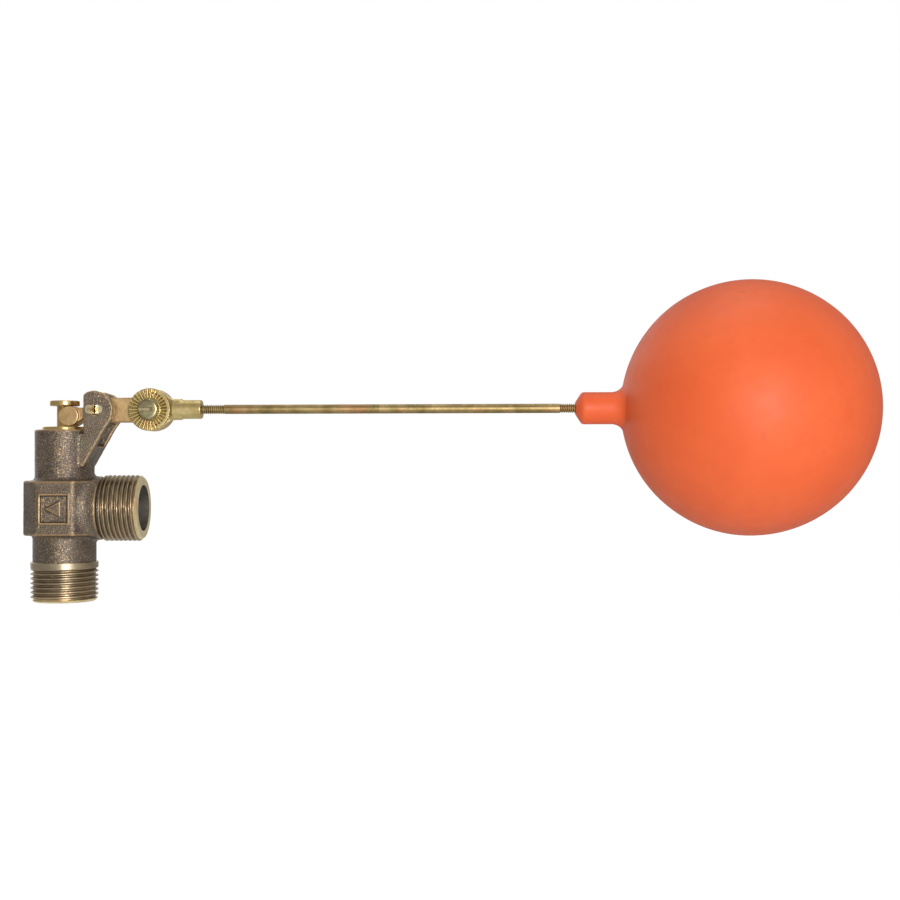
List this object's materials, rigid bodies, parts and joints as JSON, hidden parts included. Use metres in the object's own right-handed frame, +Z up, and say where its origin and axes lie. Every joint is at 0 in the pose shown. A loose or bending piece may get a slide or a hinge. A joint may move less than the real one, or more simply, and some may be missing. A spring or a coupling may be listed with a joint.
{
  "type": "float valve",
  "caption": "Angle float valve with a side inlet, bottom outlet, balanced piston, forked lever, serrated elbow joint, rod and hollow ball float.",
  "frame": {"origin": "centre of the bottom outlet thread's end face", "axes": "+Z up the piston axis, +X towards the side inlet port, the lever and the float, +Y to the side of the split pin's eye"},
  "size_m": [0.4257, 0.1269, 0.1597],
  "materials": {
    "cast_bronze": "sand cast, dark brown-grey, with rubbed brassy edges",
    "turned_brass": "machined",
    "lever_brass": "fine cast, tan, satin",
    "joint_brass": "cast, yellow, satin with coppery tints",
    "screw_brass": "aged greenish grey, satin",
    "rod_brass": "drawn, dull, with coppery and greenish patches",
    "pin_brass": "drawn wire, bright at the bends",
    "fibre_gasket": "pressed red fibre",
    "cup_rubber": "moulded, matt",
    "black_rubber": "moulded, matt",
    "orange_plastic": "blow moulded, satin"
  },
  "bodies": {
    "valve": {"valve_body": "cast_bronze", "seat_ring": "turned_brass", "seat_gasket": "fibre_gasket", "fulcrum_split_pin": "pin_brass"},
    "piston": {"piston_stem": "turned_brass", "piston_spool": "turned_brass", "cup_seal": "cup_rubber", "cup_washer": "turned_brass", "piston_o_ring": "black_rubber", "seat_washer": "black_rubber", "seat_washer_retainer": "turned_brass", "seat_washer_screw": "turned_brass"},
    "lever_arm": {"lever": "lever_brass", "joint_screw": "screw_brass", "joint_spring_washer": "screw_brass", "joint_nut": "turned_brass"},
    "float_arm": {"arm_socket": "joint_brass", "float_rod": "rod_brass", "float_insert": "turned_brass", "float_shell": "orange_plastic"}
  },
  "joints": [
    {"name": "lever_pivot", "type": "hinge", "parent": "valve", "child": "lever_arm", "pos_m": [0.0182, 0, 0.0962], "axis": [0, 1, 0], "range_deg": [0, 35]},
    {"name": "piston_slide", "type": "slide", "parent": "valve", "child": "piston", "axis": [0, 0, 1], "range_m": [0, 0.00895]},
    {"name": "arm_adjust", "type": "hinge", "parent": "lever_arm", "child": "float_arm", "pos_m": [0.045, -0.00655, 0.0962], "axis": [0, 1, 0], "range_deg": [-60, 30]}
  ],
  "couplings": [
    {"joint": "piston_slide", "follows": "lever_pivot", "m_per_rad": 0.01463}
  ]
}
